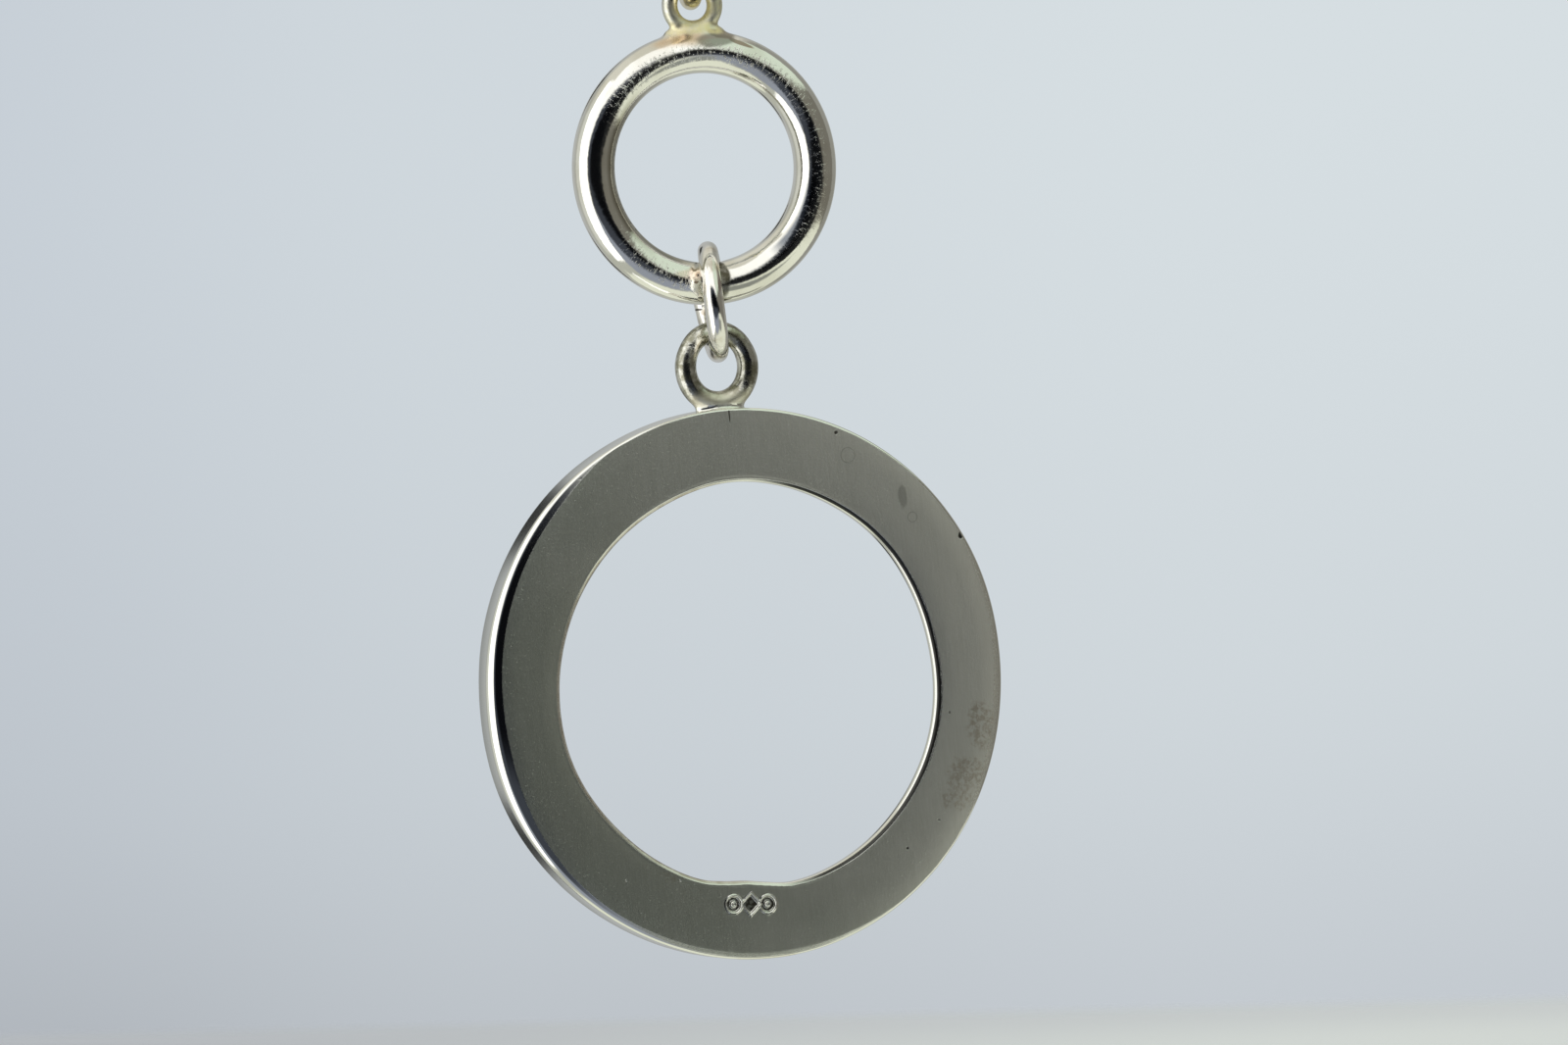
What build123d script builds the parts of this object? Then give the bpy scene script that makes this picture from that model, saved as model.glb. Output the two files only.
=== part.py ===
"""A two-stage pendant setting in silver, hanging as it does when it is worn.

A jump ring carries a small round-wire ring, and a second jump ring under that carries the
open setting: a flat back with a round hole, and a bezel wall standing on its rim towards
the front. The back, which bears the struck mark, faces -Y, and the open bezel faces +Y.
The origin is the point inside the top of the first jump ring where a chain or cord bears.
"""
from build123d import *
from math import cos, radians, sin, sqrt
import os

# Driving dimensions, in millimetres and degrees

# The open setting
setting_dia = 33.2
setting_depth = 2.0
bezel_wall = 0.9
plate_thickness = 0.8
hole_dia = 24.0
hole_shift_x = -0.1
hole_shift_z = -0.12
back_edge_radius = 0.55
hole_edge_radius = 0.36
lip_radius = 0.15
largest_back_edge = 0.9  # share of the plate's thickness
largest_rounding = 0.45  # share of the wall or plate that is rounded from both sides

# The struck mark on the back, three plain punches side by side
mark_radius = 13.35
mark_angle = 265.5
mark_turn = -5.0
mark_depth = 0.15
punch_size = 0.95
punch_gap = 0.15
punch_boss_dia = 0.38
lozenge_reach = 0.59

# The loop soldered on the setting's rim
setting_loop_inner_dia = 2.86
setting_loop_wire = 1.2
setting_loop_sink = 0.35

# The small ring, and the loop soldered on it
ring_dia = 16.4
ring_wire = 2.55
ring_yaw = -5.3
ring_loop_inner_dia = 1.85
ring_loop_wire = 0.95
ring_loop_sink = 0.35

# The two jump rings, and the play where one wire bears on another
jump_inner_dia = 4.9
jump_wire = 1.2
jump_yaw = -16.7
wire_clearance = 0.06

# The solder at the foot of each loop: generous on the small ring, trimmed on the setting
ring_solder_angle = 48.0
ring_solder_spread = 0.45
ring_solder_hollow = 0.16
setting_solder_angle = 37.0
setting_solder_spread = 0.12
setting_solder_hollow = 0.05
solder_bury = 0.2
solder_share = 0.8

# The hole's edge, cut by hand and swollen beside the mark.
# Columns: angle seen from the back, edge in or out as a share of the hole's radius.
HOLE_EDGE = [
    (10, -0.010), (40, 0.001), (68, 0.004), (88, 0.008), (112, -0.004), (135, -0.007),
    (158, -0.004), (178, 0.003), (198, 0.009), (222, -0.003), (238, -0.005), (251, -0.005),
    (259, -0.016), (265, -0.026), (271, -0.018), (279, 0.002), (295, 0.005), (320, 0.006),
    (345, 0.002),
]

# Where each piece hangs, worked out downwards from the origin

hanging_ring_z = -jump_inner_dia / 2

ring_loop_top = -jump_inner_dia + wire_clearance
ring_loop_z = ring_loop_top - ring_loop_inner_dia / 2
ring_loop_outer = ring_loop_inner_dia / 2 + ring_loop_wire
ring_z = ring_loop_z - ring_loop_outer + ring_loop_sink - ring_dia / 2

ring_inner_dia = ring_dia - 2 * ring_wire
link_top = ring_z - ring_inner_dia / 2 + wire_clearance
link_ring_z = link_top - jump_inner_dia / 2

setting_loop_top = link_top - jump_inner_dia + wire_clearance
setting_loop_z = setting_loop_top - setting_loop_inner_dia / 2
setting_loop_outer = setting_loop_inner_dia / 2 + setting_loop_wire
setting_z = setting_loop_z - setting_loop_outer + setting_loop_sink - setting_dia / 2

back_y = -setting_depth / 2
ledge_y = back_y + plate_thickness


def upright_plane(height, yaw):
    """The plane of a ring that hangs upright, its normal turned from -Y about the vertical."""
    turn = radians(yaw)
    return Plane(origin=(0, 0, height), x_dir=(cos(turn), sin(turn), 0), z_dir=(sin(turn), -cos(turn), 0))


def wire_ring(plane, inner_dia, wire):
    """A round wire bent into a closed ring that lies in the plane."""
    with Locations(plane):
        Torus((inner_dia + wire) / 2, wire / 2)


def solder_foot(plane, loop_outer, wire, rim_radius, sink, angle, spread, hollow):
    """Solder that fills the two corners between a loop and the round rim under it."""
    reach = radians(angle)
    top_x = (loop_outer - solder_bury) * sin(reach)
    top_y = -(loop_outer - solder_bury) * cos(reach)
    foot_x = loop_outer * sin(reach) + spread
    foot_y = sink - loop_outer - rim_radius + sqrt((rim_radius - solder_bury)**2 - foot_x**2)
    hollow_x = (top_x + foot_x) / 2 - hollow
    hollow_y = (top_y + foot_y) / 2
    with BuildSketch(plane) as foot:
        with BuildLine():
            ThreePointArc((top_x, top_y), (hollow_x, hollow_y), (foot_x, foot_y))
            Line((foot_x, foot_y), (-foot_x, foot_y))
            ThreePointArc((-foot_x, foot_y), (-hollow_x, hollow_y), (-top_x, top_y))
            Line((-top_x, top_y), (top_x, top_y))
        make_face()
    extrude(foot.sketch, amount=solder_share * wire / 2, both=True)


os.makedirs("parts", exist_ok=True)

# The jump ring that a chain or cord goes through
with BuildPart() as hanging_jump_ring:
    wire_ring(upright_plane(hanging_ring_z, jump_yaw + 90), jump_inner_dia, jump_wire)
hanging_jump_ring.part.label = "hanging_jump_ring"

# The small ring of thick round wire, with its loop soldered on top
with BuildPart() as upper_ring:
    wire_ring(upright_plane(ring_z, ring_yaw), ring_inner_dia, ring_wire)
    wire_ring(upright_plane(ring_loop_z, ring_yaw), ring_loop_inner_dia, ring_loop_wire)
    solder_foot(upright_plane(ring_loop_z, ring_yaw), ring_loop_outer, ring_loop_wire,
                ring_dia / 2, ring_loop_sink, ring_solder_angle, ring_solder_spread, ring_solder_hollow)
upper_ring.part.label = "upper_ring"

# The jump ring between the small ring and the setting
with BuildPart() as link_jump_ring:
    wire_ring(upright_plane(link_ring_z, jump_yaw + 90), jump_inner_dia, jump_wire)
link_jump_ring.part.label = "link_jump_ring"

# The open setting: a pierced back plate and a bezel wall in one, with its loop on the rim
with BuildPart() as setting:
    with BuildSketch(upright_plane(setting_z, 0).offset(-back_y)):
        Circle(setting_dia / 2)
    extrude(amount=-setting_depth)
    with BuildSketch(upright_plane(setting_z, 0).offset(-ledge_y)):
        Circle(setting_dia / 2 - bezel_wall)
    extrude(amount=-setting_depth, mode=Mode.SUBTRACT)
    rim_edges = setting.edges().filter_by(GeomType.CIRCLE).group_by(Axis.Y)
    fillet(rim_edges[0], radius=min(back_edge_radius, largest_back_edge * plate_thickness))
    fillet(setting.edges().filter_by(GeomType.CIRCLE).group_by(Axis.Y)[-1],
           radius=min(lip_radius, largest_rounding * bezel_wall))

    # The hole through the back, with its edge rounded over from both faces
    with BuildSketch(upright_plane(setting_z, 0).offset(-back_y)):
        with BuildLine():
            Spline([(hole_shift_x + hole_dia / 2 * (1 + share) * cos(radians(angle)),
                     hole_shift_z + hole_dia / 2 * (1 + share) * sin(radians(angle)))
                    for angle, share in HOLE_EDGE], periodic=True)
        make_face()
    extrude(amount=-plate_thickness, mode=Mode.SUBTRACT)
    hole_edges = setting.edges().filter_by(GeomType.CIRCLE, reverse=True)
    hole_edges = hole_edges.filter_by(GeomType.LINE, reverse=True)
    fillet(hole_edges, radius=min(hole_edge_radius, largest_rounding * plate_thickness))

    # The mark: a round punch, a lozenge and a round punch
    mark_plane = upright_plane(setting_z, 0).offset(-back_y)
    mark_x = mark_radius * cos(radians(mark_angle))
    mark_y = mark_radius * sin(radians(mark_angle))
    with BuildSketch(mark_plane):
        with Locations(Location((mark_x, mark_y, 0), (0, 0, mark_turn))):
            with GridLocations(2 * (punch_size + punch_gap), 0, 2, 1):
                Circle(punch_size / 2)
                Circle(punch_boss_dia / 2, mode=Mode.SUBTRACT)
            RegularPolygon(lozenge_reach, 4)
    extrude(amount=-mark_depth, mode=Mode.SUBTRACT)

    wire_ring(upright_plane(setting_loop_z, 0), setting_loop_inner_dia, setting_loop_wire)
    solder_foot(upright_plane(setting_loop_z, 0), setting_loop_outer, setting_loop_wire,
                setting_dia / 2, setting_loop_sink, setting_solder_angle, setting_solder_spread,
                setting_solder_hollow)
setting.part.label = "setting"

for piece in (hanging_jump_ring, upper_ring, link_jump_ring, setting):
    export_step(piece.part, f"parts/{piece.part.label}.step")
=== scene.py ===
"""A silver pendant setting hanging from a small ring, seen from its flat back."""

from math import cos, radians, sin

import bpy
import numpy as np
from mathutils import Matrix, Vector


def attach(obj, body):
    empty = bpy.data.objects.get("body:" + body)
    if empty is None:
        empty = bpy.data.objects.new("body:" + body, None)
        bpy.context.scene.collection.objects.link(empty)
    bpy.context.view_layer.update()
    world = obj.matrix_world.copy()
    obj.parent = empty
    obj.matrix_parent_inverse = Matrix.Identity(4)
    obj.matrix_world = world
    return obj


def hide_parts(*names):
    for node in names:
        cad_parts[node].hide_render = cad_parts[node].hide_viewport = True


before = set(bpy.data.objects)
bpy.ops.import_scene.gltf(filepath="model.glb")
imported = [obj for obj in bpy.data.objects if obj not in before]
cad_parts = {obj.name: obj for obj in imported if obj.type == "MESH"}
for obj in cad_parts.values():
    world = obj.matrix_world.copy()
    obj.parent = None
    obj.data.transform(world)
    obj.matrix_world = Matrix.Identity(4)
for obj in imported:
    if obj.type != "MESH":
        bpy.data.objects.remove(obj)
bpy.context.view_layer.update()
scene = bpy.context.scene
millimetre = 0.001

# The camera looks at the flat back from its left and a little above. It leans, because the
# chain hangs out of line with the picture's upright edges. Lengths here are in millimetres.
view_azimuth = radians(-22.86)
view_elevation = radians(1.8)
view_lean = radians(-4.376)
view_distance = 550.0
picture_across = 93.79
sensor_across = 36.0
aim_height = -36.99
aim_aside = 3.123

sideways = Vector((cos(view_azimuth), sin(view_azimuth), 0))
towards_camera = Vector((sin(view_azimuth) * cos(view_elevation),
                         -cos(view_azimuth) * cos(view_elevation),
                         sin(view_elevation)))
upwards = towards_camera.cross(sideways)
aim = Vector((0, 0, aim_height)) + aim_aside * sideways
place = (aim + view_distance * towards_camera) * millimetre
camera_right = cos(view_lean) * sideways + sin(view_lean) * upwards
camera_up = -sin(view_lean) * sideways + cos(view_lean) * upwards

lens = bpy.data.cameras.new("camera")
lens.sensor_width = sensor_across
lens.lens = sensor_across * view_distance / picture_across
lens.clip_start = 0.01
lens.clip_end = 20
camera = bpy.data.objects.new("camera", lens)
camera.matrix_world = Matrix([
    (camera_right.x, camera_up.x, towards_camera.x, place.x),
    (camera_right.y, camera_up.y, towards_camera.y, place.y),
    (camera_right.z, camera_up.z, towards_camera.z, place.z),
    (0, 0, 0, 1)])
scene.collection.objects.link(camera)
scene.camera = camera
scene.view_settings.view_transform = "Standard"


# The studio is a pale blue-grey sheet all round. What the silver mirrors is drawn separately:
# white softboxes at the left and over the top, the dark gap where the camera stands, grey
# walls at the right and behind, and cream card below.
class Signal:
    """A shader socket that takes part in sums, so that a mask is written as a formula."""

    def __init__(self, tree, socket=None):
        self.tree = tree
        self.socket = socket

    def node(self, kind, settings=None, sockets=None, out=0):
        """Adds a node: first its settings, then the values or links of its sockets."""
        made = self.tree.nodes.new("ShaderNode" + kind)
        for name, value in (settings or {}).items():
            if name == "stops":
                ramp = made.color_ramp
                while len(ramp.elements) < len(value):
                    ramp.elements.new(0.5)
                for stop, (position, colour) in zip(ramp.elements, value):
                    stop.position = position
                    stop.color = (*colour, 1)
            else:
                setattr(made, name, value)
        for name, value in (sockets or {}).items():
            if isinstance(value, Signal):
                self.tree.links.new(value.socket, made.inputs[name])
            else:
                made.inputs[name].default_value = value
        return Signal(self.tree, made.outputs[out])

    def math(self, operation, *others):
        return self.node("Math", {"operation": operation}, dict(enumerate((self, *others))))

    def __add__(self, other):
        return self.math("ADD", other)

    def __sub__(self, other):
        return self.math("SUBTRACT", other)

    def __rsub__(self, other):
        return self.node("Math", {"operation": "SUBTRACT"}, {0: other, 1: self})

    def __mul__(self, other):
        return self.math("MULTIPLY", other)

    def __truediv__(self, other):
        return self.math("DIVIDE", other)

    def __neg__(self):
        return self.math("MULTIPLY", -1)

    __radd__ = __add__
    __rmul__ = __mul__

    def rise(self, low, high):
        """Nought below low, one above high, and an even curve between; reversed if low is higher."""
        return self.node("MapRange", {"interpolation_type": "SMOOTHSTEP"},
                         {"Value": self, "From Min": low, "From Max": high})

    def between(self, low, high, soft):
        return self.rise(low - soft, low + soft) * self.rise(high + soft, high - soft)

    def blend(self, below, above):
        """Colour below where this mask is nought, and colour above where it is one."""
        colours = {6: below, 7: above}
        for key, value in colours.items():
            if not isinstance(value, Signal):
                colours[key] = (*value, 1)
        return self.node("Mix", {"data_type": "RGBA"}, {0: self, **colours}, out=2)

    def dot(self, way):
        """How far this direction points along another one."""
        return self.node("VectorMath", {"operation": "DOT_PRODUCT"}, {0: self, 1: way}, out="Value")

    def times(self, colour):
        """Two colours multiplied."""
        return self.node("Mix", {"data_type": "RGBA", "blend_type": "MULTIPLY"},
                         {0: 1.0, 6: self, 7: colour}, out=2)

    def together(self, *others):
        """A vector of this number and two more."""
        return self.node("CombineXYZ", sockets=dict(enumerate((self, *others))))

    def grain(self, scale, detail=2.0, roughness=0.5):
        """Even noise over a vector, about a half on average."""
        return self.node("TexNoise", sockets={"Vector": self, "Scale": scale, "Detail": detail,
                                              "Roughness": roughness})

    def apart(self):
        parts = self.node("SeparateXYZ", sockets={0: self})
        outputs = parts.socket.node.outputs
        return [Signal(self.tree, outputs[axis]) for axis in range(3)]


def tone(red, green, blue):
    """A colour as it is read off a screen, from 0 to 255, turned into the light it stands for."""
    return tuple(((part / 255 + 0.055) / 1.055) ** 2.4 for part in (red, green, blue))


def bright(colour, times):
    return tuple(times * part for part in colour)


world = bpy.data.worlds.new("studio")
scene.world = world
world.use_nodes = True
studio = world.node_tree
studio.nodes.clear()
direction = Signal(studio).node("TexCoord", out="Generated")
east, north, height = direction.apart()

# The sheet that the camera sees, lighter towards the upper right
across = east * camera_right.x + north * camera_right.y
to_right = across.rise(-0.1, -0.03) * 0.6 + across.rise(-0.04, 0.05) * 0.4
sheet_low = to_right.blend(tone(170, 175, 181), tone(194, 200, 206))
sheet_high = to_right.blend(tone(198, 206, 214), tone(214, 222, 226))
fall = height.rise(-0.11, 0.02) * 0.6 + height.rise(-0.1, -0.05) * 0.4
sheet = fall.blend(sheet_low, sheet_high)


def outwards(azimuth, elevation):
    """The way the pendant looks to see a place at an azimuth and an elevation in degrees."""
    across, above = radians(azimuth), radians(elevation)
    return Vector((sin(across) * cos(above), -cos(across) * cos(above), sin(above)))


def patch(corners, soft):
    """Where a flat surface with these corners is seen: the inner side of each of its edges."""
    ways = [outwards(*corner) for corner in corners]
    middle = sum(ways, Vector((0, 0, 0)))
    inside = None
    for here, following in zip(ways, ways[1:] + ways[:1]):
        across = here.cross(following).normalized()
        if across.dot(middle) < 0:
            across.negate()
        edge = direction.dot(across).rise(-soft, soft)
        inside = edge if inside is None else inside * edge
    return inside


# What is mirrored, each surface in front of those before it. Columns: its corners in turn, each
# the azimuth and elevation at which the pendant sees it, how soft its edges are, its colour
# and its brightness.
white = tone(255, 255, 252)
cream = tone(226, 229, 212)
surfaces = [
    ([(0, -20), (120, -20), (-120, -20)], 0.12, tone(180, 182, 172), 1.0),
    ([(0, 30), (120, 30), (-120, 30)], 0.2, tone(214, 212, 200), 1.0),
    ([(10, -30), (10, 30), (130, 40), (130, -40)], 0.1, tone(146, 146, 140), 1.0),
    ([(10, -12), (10, 14), (84, 30), (90, -24)], 0.03, tone(116, 114, 106), 1.0),
    ([(15, 9), (86, 25), (95, 56), (24, 58)], 0.03, tone(212, 224, 208), 1.0),
    ([(-132, -53), (-56, -62), (0, -60), (77, -45), (111, -46), (-160, -49)], 0.03, cream, 1.0),
    ([(0, -61), (19, -12), (30, -12), (77, -20), (90, -24), (111, -46)], 0.03, cream, 1.0),
    ([(-56, -16), (14, -12), (14, -40), (-10, -60), (-52, -56)], 0.08, tone(146, 152, 164), 1.0),
    ([(-80, 44), (-80, -44), (-130, -40), (-130, 40)], 0.08, tone(206, 207, 199), 1.0),
    ([(-52, 50), (-53, -46), (-103, -50), (-104, 56)], 0.03, white, 1.5),
    ([(-60, 12), (14, 12), (14, 60), (-70, 68)], 0.05, white, 1.15),
    ([(10, -26), (40, -24), (40, -46), (12, -48)], 0.05, tone(140, 143, 137), 1.0),
    ([(14, 8), (4, 22), (-18, 31), (-38, 31), (-53, 14), (-54, -10), (-44, -20), (-22, -32),
      (0, -26), (16, -14)], 0.08, tone(60, 64, 72), 1.0),
    ([(178, 16), (191, 14), (194, 32), (177, 32)], 0.05, tone(40, 41, 40), 1.0),
    ([(182, -14), (194, -14), (194, -33), (180, -33)], 0.05, tone(40, 41, 40), 1.0),
    ([(13, 7), (34, -7), (33, -13), (12, -18)], 0.03, tone(30, 31, 32), 1.0),
    ([(14, 8), (-4, 18), (-16, 21), (-38, 14), (-40, -4), (-14, -10), (14, -7)], 0.06, tone(9, 10, 13), 1.0),
]
behind = direction.dot(-towards_camera)
far_side = east.rise(0.3, 0.6).blend(tone(180, 182, 181), tone(166, 168, 164))
mirrored = behind.rise(0.35, 0.72).blend(tone(172, 173, 166), far_side)
for corners, soft, colour, times in surfaces:
    mirrored = patch(corners, soft).blend(mirrored, bright(colour, times))

seen = Signal(studio).node("LightPath", out="Is Camera Ray")
light = seen.node("Background", sockets={"Color": seen.blend(mirrored, sheet)})
studio.links.new(light.socket, studio.nodes.new("ShaderNodeOutputWorld").inputs["Surface"])

# A plain pale table far under the pendant. It ends behind it at a slant, and fades there.
table_height = -250.0
table_half_length = 3600.0
table_depth = 5600.0
table_edge = Vector((839, 2011, 0))
table_along = Vector((0.584, -0.812, 0))
table_inwards = Vector((-0.812, -0.584, 0))
table_fade = 45.0
table_corners = [table_edge + side * table_half_length * table_along + reach * table_depth * table_inwards
                 for side, reach in ((-1, 0), (1, 0), (1, 1), (-1, 1))]
table_mesh = bpy.data.meshes.new("table")
table_mesh.from_pydata([(corner.x * millimetre, corner.y * millimetre, table_height * millimetre)
                        for corner in table_corners], [], [(0, 1, 2, 3)])
table = bpy.data.objects.new("table", table_mesh)
scene.collection.objects.link(table)
table.visible_glossy = False

table_finish = bpy.data.materials.new("table")
table_finish.use_nodes = True
tree = table_finish.node_tree
shader = tree.nodes["Principled BSDF"]
shader.inputs["Roughness"].default_value = 0.85
x, y, _ = Signal(tree).node("TexCoord", out="Object").apart()
inside = x * table_inwards.x + y * table_inwards.y - millimetre * table_edge.dot(table_inwards)
along = x * table_along.x + y * table_along.y
tree.links.new(inside.rise(0, millimetre * table_fade).socket, shader.inputs["Alpha"])

# In metres: painted light fall-off makes it darker and blue-grey towards one end, and half so along its
# slanting edge
far_edge = inside.rise(0.13, 0.03) * 0.5
painted_light_falloff = along.rise(-1.42, -0.83).blend(tone(202, 206, 220), tone(246, 251, 255))
tree.links.new(far_edge.blend(painted_light_falloff, tone(220, 224, 236)).socket, shader.inputs["Base Color"])
table_mesh.materials.append(table_finish)


# The first jump ring, which a chain or cord goes through. It is a turn of round silver wire,
# cut and pushed shut, so its two ends meet in a fine seam and stand a hair out of line.
def upright(height, yaw, lean=0.0, shift=0.0):
    """Where a ring hangs: its middle, and the directions to its right, up and out of its back.

    It may lean forwards and be shifted backwards a little.
    """
    turned = radians(yaw)
    right = Vector((cos(turned), sin(turned), 0))
    above = Vector((0, 0, 1))
    out = Vector((sin(turned), -cos(turned), 0))
    tipped = radians(lean)
    return (Vector((0, 0, height)) + shift * out, right,
            cos(tipped) * above - sin(tipped) * out, cos(tipped) * out + sin(tipped) * above)


def to_world(points, stand):
    middle, right, up, out = (np.array(part) for part in stand)
    return middle + points[:, :1] * right + points[:, 1:2] * up + points[:, 2:] * out


def solid_object(name, points, faces, finish, normals=None):
    mesh = bpy.data.meshes.new(name)
    mesh.from_pydata((points * millimetre).tolist(), [], faces)
    mesh.shade_smooth()
    if normals is not None:
        mesh.normals_split_custom_set_from_vertices(normals.tolist())
    mesh.materials.append(finish)
    made = bpy.data.objects.new(name, mesh)
    scene.collection.objects.link(made)
    return made


def wire_turn(name, stand, radius, wire, seam, gap, step, finish):
    """A turn of round wire with a seam at an angle, where the ends miss each other by a step."""
    rounds, around = 256, 48
    first_round = 0.16
    end_length, end_width = 0.1, 0.86
    ease = np.array([0.0, 0.012, 0.03, 0.06, end_length])
    evenly = np.linspace(first_round, rounds - first_round, rounds)
    shares = np.concatenate([ease, evenly, rounds - ease[::-1]]) / rounds

    # Each end's edge is rounded off, and the turn is a few hundredths of a millimetre uneven
    nearest_end = np.minimum(shares, 1 - shares) * rounds
    swell = np.sqrt(np.maximum(1 - (1 - nearest_end / end_length) ** 2, 0))
    narrow = np.where(nearest_end < end_length, end_width + (1 - end_width) * swell, 1)
    turned = radians(seam) + (shares * (1 - gap / 360) + gap / 720) * 2 * np.pi
    loop_radius = radius + 0.02 * np.sin(2 * turned + 0.7) + 0.012 * np.sin(3 * turned + 2)
    offset = 2 * step * (shares - 0.5) * abs(shares - 0.5)
    section = np.linspace(0, 2 * np.pi, around, endpoint=False)
    thick = wire * (1 + 0.006 * np.sin(5 * turned + 1))[:, None] * narrow[:, None]
    reach = loop_radius[:, None] + thick * np.cos(section)
    points = np.stack([reach * np.cos(turned)[:, None], reach * np.sin(turned)[:, None],
                       thick * np.sin(section) + offset[:, None]], -1).reshape(-1, 3)
    rows = len(shares)
    corner = np.arange((rows - 1) * around).reshape(rows - 1, around)
    beside = np.roll(corner, -1, axis=1)
    quads = np.stack([corner, corner + around, beside + around, beside], -1).reshape(-1, 4).tolist()
    caps = [list(range(around)), list(range(rows * around - 1, (rows - 1) * around - 1, -1))]
    return solid_object(name, to_world(points, stand), quads + caps, finish)


def silver(name):
    """A metal finish, its shader, and the place on the piece in millimetres."""
    finish = bpy.data.materials.new(name)
    finish.use_nodes = True
    tree = finish.node_tree
    shader = tree.nodes["Principled BSDF"]
    shader.inputs["Metallic"].default_value = 1
    x, y, z = Signal(tree).node("TexCoord", out="Object").apart()
    return finish, shader, (x * 1000, y * 1000, z * 1000)


def feed(shader, **surface):
    for name, value in surface.items():
        value.tree.links.new(value.socket, shader.inputs[name.replace("_", " ")])


def raised(height, depth):
    """The surface's direction where a height from nought to one stands up by a depth in mm."""
    return height.node("Bump", sockets={"Height": height, "Distance": depth * millimetre}, out="Normal")


def seen_flat(place, height, yaw):
    """A place in the piece's own directions: to its right, up, and out of its back."""
    x, y, z = place
    turned = radians(yaw)
    return x * cos(turned) + y * sin(turned), z - height, x * sin(turned) - y * cos(turned)


def along_wire(u, v, w, radius):
    """Where a place is on a ring of wire: its direction round the ring, and round the wire."""
    reach = (u * u + v * v).math("SQRT")
    return u / reach, v / reach, (reach - radius).math("ARCTAN2", w)


def spot(u, v, at_u, at_v, half_width, half_height):
    """A soft round or long mark with its middle at a place."""
    return (((u - at_u) / half_width).math("POWER", 2)
            + ((v - at_v) / half_height).math("POWER", 2)).rise(1.3, 0.5)


def jump_ring_finish(name, height, light=tone(246, 244, 238), marks=()):
    """Bright wire, drawn through a plate: fine lines run along it, and it is worn in places."""
    finish, shader, place = silver(name)
    u, v, w = seen_flat(place, height, jump_ring_yaw)
    cosine, sine, section = along_wire(u, v, w, jump_ring_radius)
    drawn = (cosine * 2).together(sine * 2, section * 9).grain(2.2, 3)
    cloud = u.together(v, w).grain(0.8, 3)
    fine = u.together(v, w).grain(14, 2)
    dull = cloud.rise(0.5, 0.72)
    colour = dull.blend(light, tone(206, 196, 178))

    # The marks are on the far side as the photo sees it, and a rubbed streak is on the near side
    for at_v, half_height, at_w, half_width, strength, shade in marks:
        share = spot(w, v + cloud * 0.2 - 0.1, at_w, at_v, half_width, half_height) * u.rise(1, 2)
        colour = (share * strength).blend(colour, tone(*shade))
    rub = u.rise(-1.4, -2.0) * spot(w + cloud * 0.2, v, 0.12, 1.35, 0.13, 0.75)
    colour = (rub * 0.55).blend(colour, tone(150, 112, 98))
    feed(shader, Base_Color=colour, Roughness=0.05 + dull * 0.12 + fine * 0.05,
         Normal=raised(drawn * 0.8 + fine * 0.2, 0.006))
    return finish


jump_ring_radius = 3.05
jump_ring_wire = 0.6
jump_ring_yaw = 73.3
seam_gap = 0.9
hanging_ring_z = -2.45
hanging_jump_ring = wire_turn(
    "hanging_jump_ring_wire", upright(hanging_ring_z, jump_ring_yaw, shift=-0.06),
    jump_ring_radius, jump_ring_wire - 0.02, seam=62, gap=seam_gap, step=0.05,
    finish=jump_ring_finish("hanging_ring_silver", hanging_ring_z, tone(250, 238, 196)))
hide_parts("hanging_jump_ring")
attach(hanging_jump_ring, "hanger")


# The small ring of thick round wire, polished, with a loop of thinner wire soldered on top.
# The solder lies in a wide cream-coloured bead, and the wire is worn where the link bears.
def runs(start, *stretches):
    """Lines from a start through stretches, each given by its end and its spacing."""
    lines = [np.array([start])]
    for end, spacing in stretches:
        count = max(1, round((end - lines[-1][-1]) / spacing))
        lines.append(np.linspace(lines[-1][-1], end, count + 1)[1:])
    return np.concatenate(lines)


def melted(first, second, width):
    """Two shapes run together, as solder does, over a width."""
    share = np.clip(0.5 + 0.5 * (second - first) / width, 0, 1)
    return second * (1 - share) + first * share - width * share * (1 - share)


def cut_round(first, second, radius):
    """What two shapes share, with the edge between them rounded to a radius."""
    a, b = first + radius, second + radius
    return np.minimum(np.maximum(a, b), 0) + np.hypot(np.maximum(a, 0), np.maximum(b, 0)) - radius


def wire_hoop(u, v, w, height, radius, wire):
    return np.hypot(np.hypot(u, v - height) - radius, w) - wire


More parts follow.
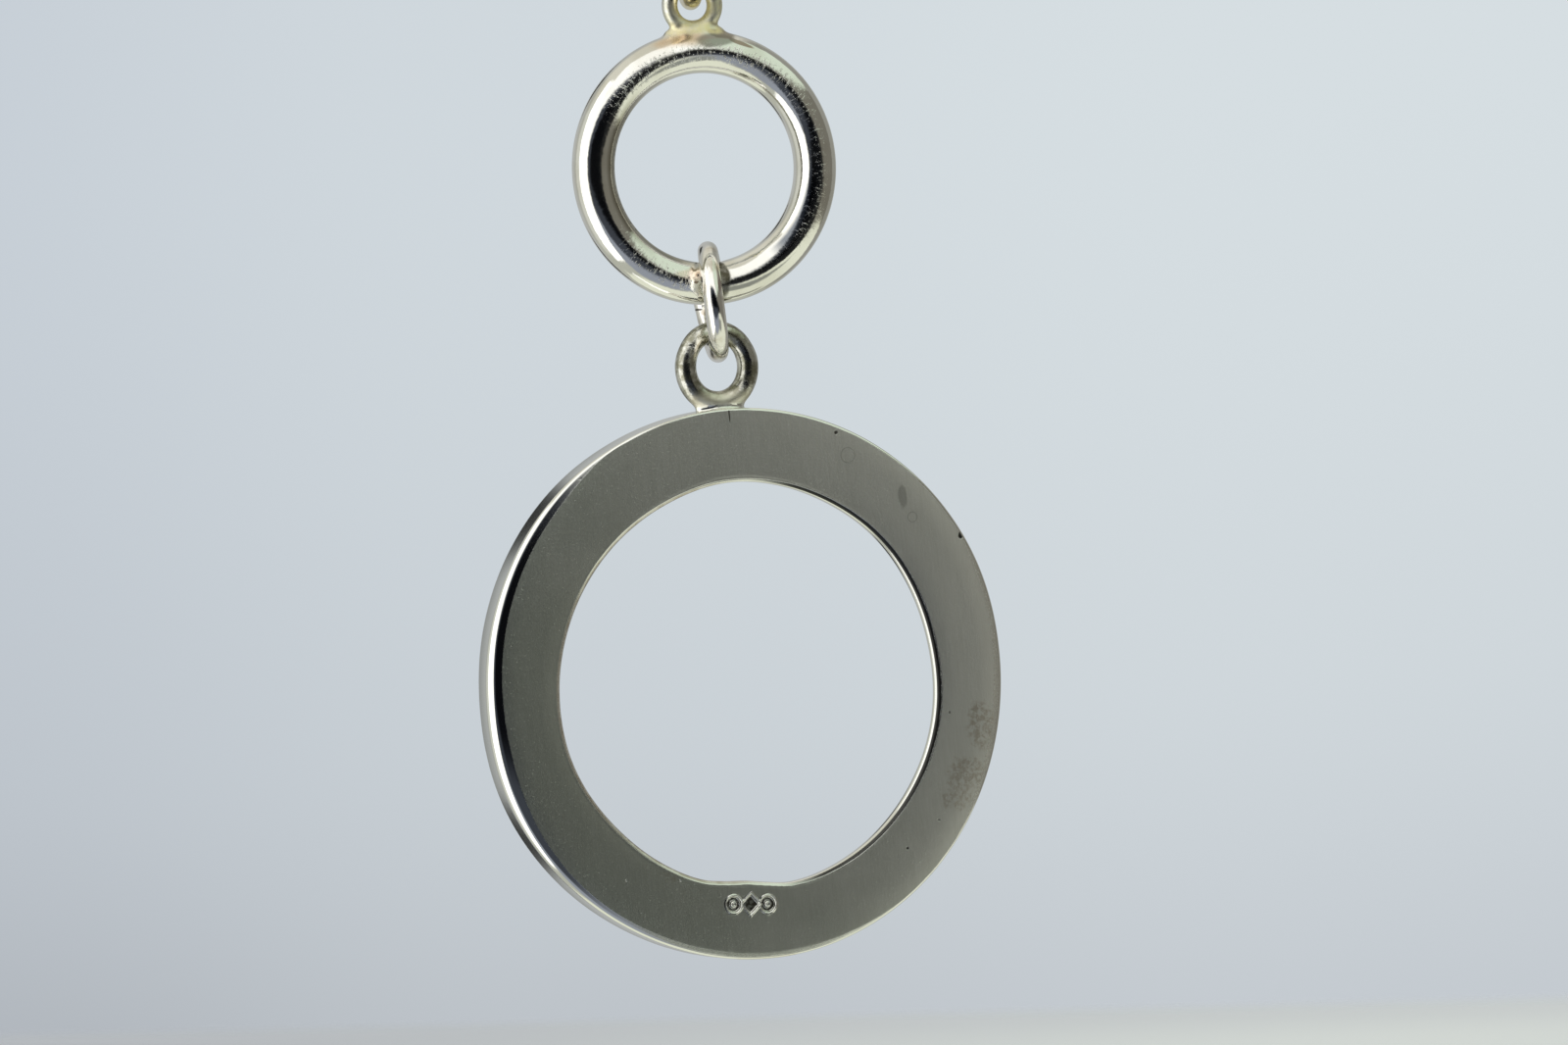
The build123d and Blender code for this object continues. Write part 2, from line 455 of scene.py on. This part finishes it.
def skin(name, shape, stand, turns, radii, depths, widest, finish):
    """The surface where a shape's depth under its skin is nought, on lines round its middle.

    Beyond the widest radius there is only the loop on top, so the rest isn't worked out.
    """
    angles = np.radians(turns)
    values = np.ones((len(angles), len(radii), len(depths)), np.float32)
    rim = np.searchsorted(radii, widest)
    on_top = (turns > 70) & (turns < 110)
    for chosen, columns in ((~on_top, slice(0, rim)), (on_top, slice(0, None))):
        a = angles[chosen][:, None, None]
        r = radii[columns][None, :, None]
        d = depths[None, None, :]
        block = shape(r * np.cos(a) + 0 * d, r * np.sin(a) + 0 * d, d + 0 * r * a)
        values[chosen, columns] = block
    around = np.concatenate([values, values[:1]])
    within = around < 0
    corner_steps = [(i, j, k) for i in (0, 1) for j in (0, 1) for k in (0, 1)]
    cells = (len(angles), len(radii) - 1, len(depths) - 1)

    def shifted(grid, step):
        i, j, k = step
        return grid[i:i + cells[0], j:j + cells[1], k:k + cells[2]]

    count = sum(shifted(within, step).astype(np.uint8) for step in corner_steps)
    crossed = (count > 0) & (count < 8)
    index = np.full(cells, -1)
    index[crossed] = np.arange(crossed.sum())
    ci, cj, ck = np.nonzero(crossed)
    all_angles = np.append(angles, angles[0] + 2 * np.pi)
    level = {step: around[ci + step[0], cj + step[1], ck + step[2]] for step in corner_steps}
    total = np.zeros((len(ci), 3))
    edges = np.zeros(len(ci))
    for step in corner_steps:
        for axis in range(3):
            if step[axis]:
                continue
            other = tuple(1 if n == axis else step[n] for n in range(3))
            here, there = level[step], level[other]
            hit = (here < 0) != (there < 0)
            share = np.where(hit, here / np.where(hit, here - there, 1), 0)
            crossing = np.stack([step[n] + (share if n == axis else 0 * share) for n in range(3)], -1)
            total += np.where(hit[:, None], crossing, 0)
            edges += hit
    total /= edges[:, None]
    spots = []
    for lines, low, part in zip((all_angles, radii, depths), (ci, cj, ck), total.T):
        spots.append(lines[low] + part * (lines[low + 1] - lines[low]))
    points = np.stack([spots[1] * np.cos(spots[0]), spots[1] * np.sin(spots[0]), spots[2]], -1)

    def slope(at):
        tiny = 2e-4
        sides = []
        for axis in range(3):
            step = np.zeros(3)
            step[axis] = tiny
            sides.append((shape(*(at + step).T) - shape(*(at - step).T)) / (2 * tiny))
        return np.stack(sides, -1)

    for _ in range(3):
        lean = slope(points)
        steep = np.maximum((lean ** 2).sum(1), 0.2)
        move = lean * (shape(*points.T) / steep)[:, None]
        points = points - np.clip(move, -0.08, 0.08)
    lean = slope(points)
    normals = lean / np.linalg.norm(lean, axis=1)[:, None]

    quads = []
    for axis in range(3):
        near = within[:-1]
        far = (within[1:], within[:-1, 1:], within[:-1, :, 1:])[axis]
        near = near[:, :far.shape[1], :far.shape[2]]
        i, j, k = np.nonzero(near != far)
        one, two = [n for n in range(3) if n != axis]
        ring = []
        for shift_one, shift_two in ((-1, -1), (0, -1), (0, 0), (-1, 0)):
            cell = [i, j, k]
            cell[one] = cell[one] + shift_one
            cell[two] = cell[two] + shift_two
            ring.append(index[cell[0] % cells[0], cell[1], cell[2]])
        quads.append(np.stack(ring, -1))
    quads = np.concatenate(quads)
    first, second, third = (points[quads[:, n]] for n in (0, 1, 3))
    facing = (np.cross(second - first, third - first) * normals[quads[:, 0]]).sum(1)
    quads[facing < 0] = quads[facing < 0][:, ::-1]
    middle, *directions = (np.array(part) for part in stand)
    normals = normals @ np.array(directions)
    return solid_object(name, to_world(points, stand), quads.tolist(), finish, normals)


def lump(u, v, w, half):
    """A rounded lump with half its size along each direction."""
    a, b, c = half
    near = np.sqrt((u / a) ** 2 + (v / b) ** 2 + (w / c) ** 2)
    steep = np.sqrt((u / a ** 2) ** 2 + (v / b ** 2) ** 2 + (w / c ** 2) ** 2)
    return near * (near - 1) / np.maximum(steep, 1e-6)


ring_z = -15.49
ring_yaw = -5.3
ring_radius = 6.925
ring_wire = 1.275
ring_loop_height = 9.725
ring_loop_radius = 1.4
ring_loop_wire = 0.475


def small_ring(u, v, w):
    # The link has worn a groove in the hole's bottom, and the solder is a bead under the loop
    wear = 0.13 * np.exp(-(u / 0.62) ** 2)
    wear = wear * np.clip((-v - 5.0) / 0.8, 0, 1) * np.clip((7.0 + v) / 0.8, 0, 1)
    hoop = wire_hoop(u, v, w, 0, ring_radius, ring_wire) + wear
    bead = lump(u, v - 8.1, w, (1.75, 0.55, 0.62))
    loop = wire_hoop(u, v, w, ring_loop_height, ring_loop_radius, ring_loop_wire)
    return melted(melted(hoop, bead, 0.5), loop, 0.3)


def small_ring_finish():
    """Polished by hand: fine scratches across the wire, with solder stains and a painted shadow round the
    loop.
    """
    finish, shader, place = silver("small_ring_silver")
    u, v, w = seen_flat(place, ring_z, ring_yaw)
    cosine, sine, section = along_wire(u, v, w, ring_radius)
    where = u.together(v, w)
    cloud = where.grain(0.35, 3)
    fine = where.grain(9, 3)
    warp = (where.grain(1.3, 3) - 0.5) * 0.9

    # Scratches lie along the crest, thickest at the top and at the lower left, fewest at the left
    crest = (w + warp * 0.12).rise(1.08, 1.22)
    few = cosine.rise(-0.7, -0.95) * 0.85
    many = sine.rise(0.3, 0.9) + cosine.rise(0.5, -0.3) * sine.rise(-0.5, -0.85)
    clean = cosine.rise(-0.05, 0.1) * sine.rise(-0.6, -0.75) * 0.8
    share = crest * (0.4 + 0.6 * many) * (1 - few) * (1 - clean)
    strokes = (cosine * 46).together(sine * 46, section * 2.8).grain(1.0, 3, 0.65)
    scratches = strokes.rise(0.56, 0.68) * share
    specks = where.grain(6.5, 3, 0.65).rise(0.6, 0.7) * share
    height = scratches * 0.5 + specks * 0.4 + where.grain(1.6, 2) * 0.6

    # A crease with pits inside the hole's left side
    crease = (section + 1.0 + warp * 0.08).between(-0.05, 0.05, 0.04) * cosine.rise(-0.7, -0.85)
    pits = crease * where.grain(4.5, 2).rise(0.5, 0.62)

    # The solder's cream bead, a peach band under it, and brown flux at its right foot, darkened there as a
    # painted shadow
    bead = (v + warp * 0.5).between(8.0, 8.75, 0.16) * (u + warp).math("ABSOLUTE").rise(2.2, 1.5)
    peach = (v + warp * 0.4).between(7.35, 8.1, 0.25) * (u + 0.6 + warp * 0.5).between(-2.2, 1.0, 0.6)
    peach = peach * w.rise(0.2, 0.8)
    brown = spot(u + warp * 0.5, v + u * 0.42 + warp * 0.25, 2.55, 8.33, 0.85, 0.16) * w.rise(0.1, 0.6)
    flux_and_painted_shadow = spot(u + warp * 0.5, v + u * 0.2 + warp * 0.4, 1.45, 8.2, 0.9, 0.3) * w.rise(-0.2, 0.5)
    dark = cloud.rise(0.46, 0.66) * 0.35
    colour = dark.blend(tone(247, 246, 240), tone(214, 210, 196))
    colour = (peach * 0.7).blend(colour, tone(230, 200, 166))
    colour = (flux_and_painted_shadow * 0.7).blend(colour, tone(128, 112, 82))
    colour = (brown * 0.75).blend(colour, tone(128, 92, 66))
    uneven = 0.55 + 0.45 * where.grain(1.6, 3).rise(0.35, 0.6)
    colour = (bead * uneven).blend(colour, tone(246, 236, 190))

    # Beside the link: a painted dark reflection of the link with olive tarnish on its right, a painted peach
    # reflection on its left, and brown spots
    tarnish_and_painted_shade = spot(u + warp * 0.45, v + warp * 0.4 - w * 0.1, 0.3, -6.7, 0.42, 1.3) * v.rise(-3, -4)
    tarnish_and_painted_shade = tarnish_and_painted_shade * (0.75 + 0.25 * where.grain(1.8, 3).rise(0.35, 0.6))
    colour = (tarnish_and_painted_shade * 0.95).blend(colour, tone(58, 54, 30))
    peach_reflection = spot(u + warp * 0.6, v + warp * 0.6, -1.5, -6.3, 1.3, 0.35) * w.rise(0.1, 0.8)
    colour = (peach_reflection * 0.45).blend(colour, tone(226, 196, 170))
    colour = (spot(u, v + warp * 0.3, -1.45, -6.75, 0.14, 0.1) * 0.8).blend(colour, tone(120, 86, 56))
    colour = (pits * 0.9).blend(colour, tone(46, 40, 34))

    # The hole's inner side is darker at the left and lower left, and at the lower right it has bluish
    # tarnish and a painted dark reflection
    inner_left = cosine.rise(-0.55, -0.9) * (section + warp * 0.1).rise(-0.3, -0.6)
    inner_low = cosine.rise(0.0, -0.4) * sine.rise(-0.1, -0.4) * (section + warp * 0.1).rise(-0.75, -1.0)
    colour = inner_left.math("MAXIMUM", inner_low).blend(colour, colour.times(
        (warp * 0.5 + 0.5).blend(tone(206, 204, 194), tone(166, 163, 154))))
    inner_right_dark_reflection = cosine.rise(0.5, 0.68) * sine.rise(-0.05, -0.3)
    inner_right_dark_reflection = inner_right_dark_reflection * (section + warp * 0.12).between(-0.62, -0.2, 0.1)
    colour = (inner_right_dark_reflection * 0.85).blend(colour, tone(104, 112, 124))
    shadow = spot(u + warp * 0.5, v + warp * 0.3, 1.0, 7.55, 1.3, 0.42) * w.rise(0.3, 0.9)
    colour = (shadow * 0.75).blend(colour, tone(128, 126, 116))

    # The loop wasn't polished: it is mottled, and cream at its foot and right side
    loop = v.rise(8.5, 8.9)
    mottle = where.grain(1.5, 4, 0.7).rise(0.38, 0.6)
    creamy = loop * (v * -0.45 + u * 0.3 + warp).rise(-5.1, -4.3)
    colour = (loop * (0.25 + 0.5 * mottle)).blend(colour, tone(206, 206, 192))
    colour = (creamy * (0.4 + 0.6 * mottle)).blend(colour, tone(250, 246, 214))
    height = height + (where.grain(2.4, 3) + fine * 0.2) * loop * 1.3
    roughness = 0.05 + fine * 0.06 + loop * (0.1 + 0.14 * mottle) + creamy * 0.16 + flux_and_painted_shadow * 0.2
    roughness = roughness + dark * 0.1 + peach * 0.16 + bead * 0.32 + share * 0.05
    roughness = roughness + (scratches + specks) * 0.32 + tarnish_and_painted_shade * 0.2
    feed(shader, Base_Color=colour, Roughness=roughness, Normal=raised(height - crease * 1.5, 0.016))
    return finish


upper_ring = skin("small_ring", small_ring, upright(ring_z, ring_yaw),
                  runs(0, (74, 1.1), (106, 0.36), (258, 1.1), (282, 0.6), (358.9, 1.1)),
                  runs(5.5, (8.3, 0.09), (11.8, 0.07)),
                  runs(-1.4, (-0.6, 0.09), (0.6, 0.07), (1.4, 0.09)), 8.6, small_ring_finish())
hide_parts("upper_ring")
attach(upper_ring, "ring_drop")

# The link: a second jump ring like the first, between the small ring and the setting. It was
# closed askew: its seam is on the far side, and the ends miss each other there by most of the
# wire's width. The pliers left marks beside it. Columns: height on the link, half its length,
# how far out of the back it is, half that width, how strong, colour.
link_marks = [
    (-0.42, 0.07, -0.75, 0.25, 0.9, (40, 34, 30)),
    (-0.60, 0.2, -0.35, 0.3, 0.5, (150, 120, 88)),
    (-0.98, 0.06, -0.1, 0.35, 0.8, (60, 52, 46)),
]
link_z = -23.53
link_yaw = 69.5
link = wire_turn(
    "link_jump_ring_wire", upright(link_z, link_yaw, lean=3.6, shift=-0.15),
    jump_ring_radius, jump_ring_wire, seam=12, gap=seam_gap, step=-0.95,
    finish=jump_ring_finish("link_silver", link_z, marks=link_marks))
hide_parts("link_jump_ring")
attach(link, "link")

# The setting: a silver back plate with a round hole filed by hand, and a bezel wall soldered
# round its rim. The back is brushed satin, the wall and all edges are polished, and a loop of
# round wire is soldered on top. Three plain punches are struck under the hole.
setting_z = -46.23
setting_radius = 16.6
half_depth = 1.0
ledge = 0.2
pocket_radius = 15.7
lip_rounding = 0.15
setting_loop_height = 18.83
setting_loop_radius = 2.03
setting_loop_left = 0.2

# The hole, its middle a little to the left and low. Columns: angle, and how far the edge stands
# out there as a share of the hole's radius
hole_radius = 12.0
hole_left = 0.1
hole_low = 0.12
hole_edge = [
    (10, 0.008), (40, 0.006), (60, -0.003), (75, -0.002), (92, 0.001), (112, -0.013), (135, -0.015),
    (158, -0.009), (178, 0.002), (198, 0.010), (222, -0.002), (238, 0.002), (251, 0.006),
    (259, -0.007), (265, -0.014), (271, -0.002), (279, 0.022), (295, 0.030), (320, 0.032),
    (345, 0.028),
]


turn_angles = np.linspace(0, 360, 1440, endpoint=False)


def smooth_round(table):
    """Values at angles joined by an even curve right round, as a list at every small turn."""
    angles = np.array([angle for angle, _ in table])
    values = np.array([value for _, value in table])
    angles = np.concatenate([angles[-2:] - 360, angles, angles[:3] + 360])
    values = np.concatenate([values[-2:], values, values[:3]])
    n = np.searchsorted(angles, turn_angles, side="right") - 1
    span = angles[n + 1] - angles[n]
    t = (turn_angles - angles[n]) / span
    before = (values[n + 1] - values[n - 1]) / (angles[n + 1] - angles[n - 1]) * span
    after = (values[n + 2] - values[n]) / (angles[n + 2] - angles[n]) * span
    return ((2 * t ** 3 - 3 * t ** 2 + 1) * values[n] + (t ** 3 - 2 * t ** 2 + t) * before
            + (3 * t ** 2 - 2 * t ** 3) * values[n + 1] + (t ** 3 - t ** 2) * after)


def round_about(turn, values):
    return np.interp(turn, turn_angles, values, period=360)


# How far the rim is out of round, and how its back edge was rounded: columns angle, and mm
rim_error = [
    (0, -0.07), (20, -0.05), (40, -0.15), (55, -0.24), (75, -0.31), (100, -0.26), (115, -0.19), (130, -0.05),
    (145, 0.02), (165, 0.06), (180, 0.05), (200, 0.19), (215, 0.14), (240, 0.0), (265, 0.06), (285, 0.13),
    (310, 0.15), (330, 0.06),
]
rim_rounding = [
    (0, 0.14), (40, 0.16), (75, 0.16), (105, 0.12), (120, 0.14), (135, 0.24), (150, 0.36), (165, 0.48),
    (180, 0.54), (200, 0.5), (210, 0.4), (225, 0.28), (240, 0.2), (270, 0.16), (300, 0.14), (320, 0.12),
]
# Where the bevel filed on that edge starts: columns angle, and radius
bevel_start = [
    (0, 17.0), (40, 17.0), (80, 17.0), (105, 16.9), (118, 16.4), (128, 16.1), (136, 16.0),
    (150, 15.98), (165, 15.94), (180, 15.86), (190, 15.87), (200, 16.0), (210, 16.14), (225, 16.22),
    (240, 16.18), (255, 16.18), (270, 16.3), (285, 16.4), (300, 16.6), (320, 17.0),
]
# How the hole's edges were rounded: columns angle, and mm
hole_rounding = [
    (0, 0.32), (30, 0.28), (60, 0.2), (95, 0.2), (140, 0.34), (200, 0.34), (260, 0.22), (285, 0.2),
    (300, 0.28), (330, 0.34),
]
edge_shares = smooth_round(hole_edge)
rim_errors = smooth_round(rim_error)
rim_roundings = smooth_round(rim_rounding)
bevel_starts = smooth_round(bevel_start)
hole_roundings = smooth_round(hole_rounding)

# The row of punches: where its middle is, how it leans, and how far apart they are
punch_right = -1.047
punch_height = -13.309
punch_lean = radians(-5)
punch_spacing = 1.1


def beside_punches(u, v):
    """A place in the punches' own directions: along their row, and across it."""
    a = u - punch_right
    b = v - punch_height
    return a * cos(punch_lean) + b * sin(punch_lean), b * cos(punch_lean) - a * sin(punch_lean)


def punched(u, v):
    """How deep the three punches have driven the back in, with the burr they threw up."""
    a, b = beside_punches(u, v)
    depth = 0 * u
    for middle in (-punch_spacing, punch_spacing):
        r = np.hypot(a - middle, b)
        depth = depth + groove(np.maximum(r - 0.455, 0.21 - r))
    return depth + groove((np.abs(a) + np.abs(b) - 0.56) * 0.707)


def groove(outside):
    """A rounded groove where this distance is under nought, with a low burr round it."""
    fall = np.clip(0.5 - outside / 0.09, 0, 1)
    burr = np.exp(-((outside - 0.09) / 0.07) ** 2)
    return 0.13 * fall * fall * (3 - 2 * fall) - 0.02 * burr


def open_setting(u, v, w):
    r = np.hypot(u, v)
    turn = np.degrees(np.arctan2(v, u)) % 360
    hole_r = np.hypot(u + hole_left, v + hole_low)
    hole_turn = np.degrees(np.arctan2(v + hole_low, u + hole_left)) % 360
    wobble = round_about(turn, rim_errors)
    hole_rounded = round_about(hole_turn, hole_roundings)
    edge = hole_radius * (1 + round_about(hole_turn, edge_shares))

    # How far the back falls away from flat, which is least at this radius. A file has taken down
    # its rim, past the bevel's start, and the hole's edge at the right.
    flattest = 13.5
    bevel_softness = 0.03
    sides = (u / r) ** 2
    crown = (0.003 + 0.0045 * sides - 0.003 * np.minimum(v / r, 0)) * (r - flattest) ** 2
    crown = crown + 0.036 * sides * np.maximum(r - 15, 0) ** 2
    past_start = r - round_about(turn, bevel_starts)
    crown = crown + (0.04 + 0.04 * sides) * (past_start + np.hypot(past_start, bevel_softness))
    crown = crown + 0.022 * sides * np.maximum(flattest - r, 0) ** 2
    crown = crown + 0.004 * np.sin(u * 0.9 + 1) * np.sin(v * 0.7)
    towards_hole = edge + hole_rounded + 0.1 - hole_r
    at_right = np.clip(2 * u / r, 0, 1)
    crown = crown + 0.07 * at_right * (towards_hole + np.hypot(towards_hole, bevel_softness))
    burr = 0.01 * np.exp(-((hole_r - edge - 0.26) / 0.1) ** 2)
    back = w - half_depth + crown - burr + punched(u, v)

    # The disc, with the pocket of the bezel sunk in its front and the hole cut through
    body = cut_round(r - setting_radius - wobble, back, round_about(turn, rim_roundings))
    body = cut_round(body, -w - half_depth, lip_rounding)
    pocket = np.maximum(r - pocket_radius - 0.5 * wobble, w - ledge)
    body = cut_round(body, -pocket, lip_rounding)
    body = cut_round(body, edge - hole_r, hole_rounded)

    # The loop is a little taller than wide, and its wire is thinner at the top, where the link is
    across = u + setting_loop_left
    loop_wire = 0.645 - 0.055 * np.clip(v - 19.2, 0, 1)
    reach = np.hypot(across * 1.01, (v - setting_loop_height) * 0.955)
    loop = np.hypot(reach - setting_loop_radius, w) - loop_wire
    feet = lump(across, v - 16.5, w, (1.5, 0.45, 0.42))
    return melted(melted(body, loop, 0.3), feet, 0.3)


def setting_finish():
    """The flat back is brushed up and down, the rest polished; stains and pits are on the back."""
    finish, shader, place = silver("setting_silver")
    u, v, w = seen_flat(place, setting_z, 0)
    normal = u.node("TexCoord", out="Normal")
    facing = -normal.apart()[1]
    radius = (u * u + v * v).math("SQRT")
    where = u.together(v, w)
    fine = where.grain(8, 3)
    cloud = where.grain(0.22, 4, 0.6)
    back = facing.rise(0.984, 0.996) * radius.rise(16.75, 16.55)
    loop = radius.rise(16.7, 17.1)

    # The brushed grain: long streaks up and down, finer ones, and a few deeper strokes
    streak = (u * 7).together(v * 0.45, 0 * w).grain(1.0, 4, 0.6)
    hair = (u * 26).together(v * 1.3, 0 * w).grain(1.0, 3, 0.6)
    stroke = (u * 2.6 + v * 0.2).together(v * 0.16, 0 * w).grain(1.0, 3, 0.55)
    pores = where.grain(11, 2).rise(0.66, 0.74)

    # Columns: place seen from the back, half its width and height, how strong, colour
    marks = [
        (14.50, 7.54, 0.17, 0.22, 1.0, (12, 12, 10)),
        (6.79, 14.33, 0.13, 0.12, 0.9, (52, 44, 34)),
        (9.39, -10.96, 0.09, 0.10, 0.9, (30, 28, 24)),
        (11.59, -9.46, 0.10, 0.08, 0.6, (60, 54, 46)),
        (12.83, -3.05, 0.07, 0.10, 0.7, (70, 62, 50)),
        (-0.03, 15.95, 0.05, 0.50, 0.85, (58, 52, 46)),
        (-9.95, 12.91, 0.16, 0.10, 0.9, (30, 30, 28)),
        (-8.93, -11.12, 0.07, 0.07, 0.8, (250, 250, 250)),
        (-5.48, -11.46, 0.06, 0.06, 0.8, (250, 250, 250)),
    ]
    # The same for the brown stains, which are all of one colour
    stains = [
        (13.63, -6.80, 1.3, 1.0, 0.4),
        (14.84, -3.94, 0.9, 1.5, 0.42),
        (13.00, -8.30, 1.2, 0.7, 0.32),
        (-5.60, -10.57, 1.3, 0.9, 0.22),
    ]
    warp = where.grain(1.9, 3) - 0.5
    drift = where.grain(0.9, 4, 0.7) - 0.5
    # Painted shade: the satin is lighter towards the upper right and darker towards the lower left, with
    # random tone over it
    tarnish_and_painted_shade = (u * 0.055 + v * 0.03 + (cloud - 0.5) * 0.9).rise(-1.0, 1.0)
    brushed = ((streak - 0.5) * 1.1 + (hair - 0.5) * 0.9 + (stroke - 0.5) * 0.8 + 0.5).rise(0.15, 0.85)
    satin_colour = brushed.blend(tone(247, 247, 246), tone(255, 255, 255)).times(
        tarnish_and_painted_shade.blend(tone(202, 206, 199), tone(255, 255, 252)))
    for at_u, at_v, half_width, half_height, strength in stains:
        share = spot(u + drift * 1.6, v + warp * 1.2, at_u, at_v, half_width, half_height)
        share = share * where.grain(3.2, 3, 0.7).rise(0.38, 0.62) * strength
        satin_colour = share.blend(satin_colour, tone(158, 134, 100))
    smudge = spot(u + warp * 0.25, v + warp * 0.5, 10.82, 10.16, 0.3, 0.75) * 0.35
    satin_colour = smudge.blend(satin_colour, tone(104, 106, 100))
    for at_u, at_v, wide in ((11.36, 8.88, 0.3), (7.45, 12.92, 0.45)):
        reach = ((u - at_u) * (u - at_u) + (v - at_v) * (v - at_v)).math("SQRT")
        satin_colour = (reach.between(wide - 0.03, wide + 0.03, 0.03) * 0.3).blend(
            satin_colour, tone(120, 120, 114))

    # Dirt and painted shade lie in the punches
    beside, above = beside_punches(u, v)
    punch_dirt_and_shade = (beside.math("ABSOLUTE") + above.math("ABSOLUTE")).rise(0.62, 0.5)
    for middle in (-punch_spacing, punch_spacing):
        reach = ((beside - middle) * (beside - middle) + above * above).math("SQRT")
        punch_dirt_and_shade = punch_dirt_and_shade + reach.between(0.22, 0.44, 0.04)
    patchy = 0.45 + 0.5 * where.grain(5, 2).rise(0.35, 0.6)
    satin_colour = (punch_dirt_and_shade * patchy).blend(satin_colour, tone(70, 66, 58))
    colour = back.blend(tone(246, 246, 240), satin_colour)
    pits = pores * back * 0.35
    for at_u, at_v, half_width, half_height, strength, shade in marks:
        share = spot(u + warp * half_width, v + warp * min(half_height, 0.3),
                     at_u, at_v, half_width, half_height) * back * strength
        colour = share.blend(colour, tone(*shade))
        pits = pits + share

    # The hole's wall is very dark at the right and worn beige at the left
    hole_reach = ((u + hole_left) * (u + hole_left) + (v + hole_low) * (v + hole_low)).math("SQRT")
    hole_wall = hole_reach.rise(12.95, 12.8) * facing.rise(0.992, 0.975) * u.rise(0.5, 4)
    dark_right_wall = hole_wall * facing.rise(0.6, 0.7)
    colour = (dark_right_wall * 0.94).blend(colour, tone(30, 29, 26))
    # The outer wall is painted reflection and shade: darker grey towards the front, paler towards the back
    outer_wall_painted_shade = radius.rise(16.3, 16.5) * facing.rise(0.35, 0.12) * (1 - loop)
    colour = outer_wall_painted_shade.blend(colour, w.rise(-1.0, 0.6).blend(tone(196, 198, 196), tone(238, 239, 236)))
    worn = hole_reach.rise(12.5, 12.3) * facing.rise(0.985, 0.9) * u.rise(1, -3)
    worn_share = 0.5 + 0.4 * where.grain(1.1, 3).rise(0.35, 0.65)
    colour = (worn * worn_share).blend(colour, tone(186, 178, 164))

    # The loop is mottled, and clean solder shows at its feet
    mottle = where.grain(1.3, 4, 0.7).rise(0.36, 0.6)
    colour = (loop * (0.35 + 0.65 * mottle)).blend(colour, tone(150, 148, 130))
    solder = radius.rise(16.5, 16.7) * v.rise(17.6, 17.0)
    solder = solder * (u + setting_loop_left).math("ABSOLUTE").rise(2.2, 1.7) * w.rise(-0.3, 0.2)
    colour = (solder * 0.7).blend(colour, tone(238, 232, 212))

    # The front was turned: fine rings run round it, and the ledge is duller than the lip
    front = facing.rise(-0.94, -0.98)
    rings = (radius * 9).together(u * 0.25, v * 0.25).grain(1.0, 3, 0.6)
    ringed = colour.times(rings.rise(0.3, 0.7).blend(tone(206, 206, 200), tone(240, 240, 236)))
    colour = (front * (0.3 + 0.4 * cloud)).blend(colour, ringed)
    dents = (where.grain(2.2, 3) + fine * 0.25) * loop * 1.4
    roughness = back * 0.215 + 0.06 + fine * 0.05 + loop * (0.05 + 0.12 * mottle) + dark_right_wall * 0.25
    roughness = roughness + radius.rise(16.3, 16.6) * facing.rise(0.45, 0.05) * (1 - loop) * 0.08
    roughness = roughness + worn * 0.14 + solder * 0.3 + front * (0.1 + 0.1 * rings)
    relief = (streak * 0.08 + hair * 0.1 + stroke * 0.1 + where.grain(6, 3, 0.6) * 0.4) * back
    relief = relief - pits + dents + front * rings * 0.3
    feed(shader, Base_Color=colour, Metallic=back * -0.04 + 1, Roughness=roughness,
         Normal=raised(relief, 0.012))
    return finish


setting = skin("open_setting", open_setting, upright(setting_z, 0),
               runs(0, (78, 0.85), (102, 0.22), (256, 0.85), (275, 0.2), (359.15, 0.85)),
               runs(11.3, (12.7, 0.07), (13.95, 0.055), (15.5, 0.2), (16.8, 0.06), (21.8, 0.07)),
               runs(-1.08, (-0.7, 0.06), (0.1, 0.11), (1.08, 0.05)), 17.0, setting_finish())
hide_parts("setting")
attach(setting, "setting_drop")
